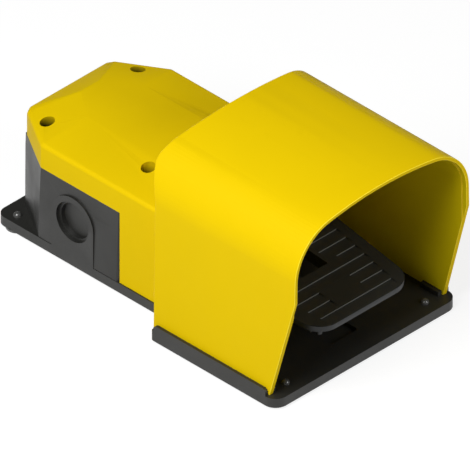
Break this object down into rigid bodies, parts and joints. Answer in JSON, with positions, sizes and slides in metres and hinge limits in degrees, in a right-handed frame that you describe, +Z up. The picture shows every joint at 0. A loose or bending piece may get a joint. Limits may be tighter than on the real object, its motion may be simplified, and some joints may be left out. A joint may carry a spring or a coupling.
{
  "type": "industrial foot switch",
  "caption": "Pedal-operated industrial switch: sprung treadle under a yellow guard hood on a black moulded base, with a screwed cover over the contact box and open cable entry.",
  "frame": {"origin": "bottom centre of the whole part's box, on the floor between the feet", "axes": "+X across the width, along the hinge; +Y from the pedal's open front to the rear cable entry; +Z up from the floor"},
  "size_m": [0.16, 0.279, 0.14],
  "materials": {
    "black_plastic": "moulded, fine matt grain",
    "yellow_plastic": "moulded, satin gloss",
    "pedal_plastic": "moulded, matt, worn a little on the bars",
    "rubber": "matt",
    "zinc_steel": "zinc plated",
    "steel": "bright steel",
    "nylon": "natural moulded nylon",
    "block_plastic": "hard moulded insulator",
    "contact_metal": "stamped"
  },
  "bodies": {
    "housing": {"base": "black_plastic", "lid": "yellow_plastic", "hood": "yellow_plastic", "lid_gasket": "rubber", "lid_screws": "zinc_steel", "hood_screws": "zinc_steel", "rubber_feet": "rubber", "end_stop": "rubber", "hinge_pin": "steel", "pin_clips": "steel", "return_springs": "steel", "rod_seal": "rubber", "contact_block": "block_plastic", "fixed_contacts": "contact_metal", "terminal_screws": "zinc_steel", "block_screws": "zinc_steel", "entry_plugs": "black_plastic", "plug_seals": "rubber"},
    "treadle": {"pedal": "pedal_plastic", "hinge_bushes": "nylon", "cam_lever": "steel", "lever_screws": "zinc_steel"},
    "plunger": {"push_rod": "nylon", "contact_bridge": "contact_metal"}
  },
  "joints": [
    {"name": "pedal_hinge", "type": "hinge", "parent": "housing", "child": "treadle", "pos_m": [0, 0.0095, 0.0335], "axis": [1, 0, 0], "range_deg": [0, 8], "stiffness_Nm_per_rad": 2, "springref_deg": -20.05, "deforming": ["return_springs"]},
    {"name": "rod_slide", "type": "slide", "parent": "housing", "child": "plunger", "axis": [0, 1, 0], "range_m": [0, 0.0026]}
  ],
  "couplings": [
    {"joint": "rod_slide", "follows": "pedal_hinge", "m_per_rad": 0.018}
  ]
}
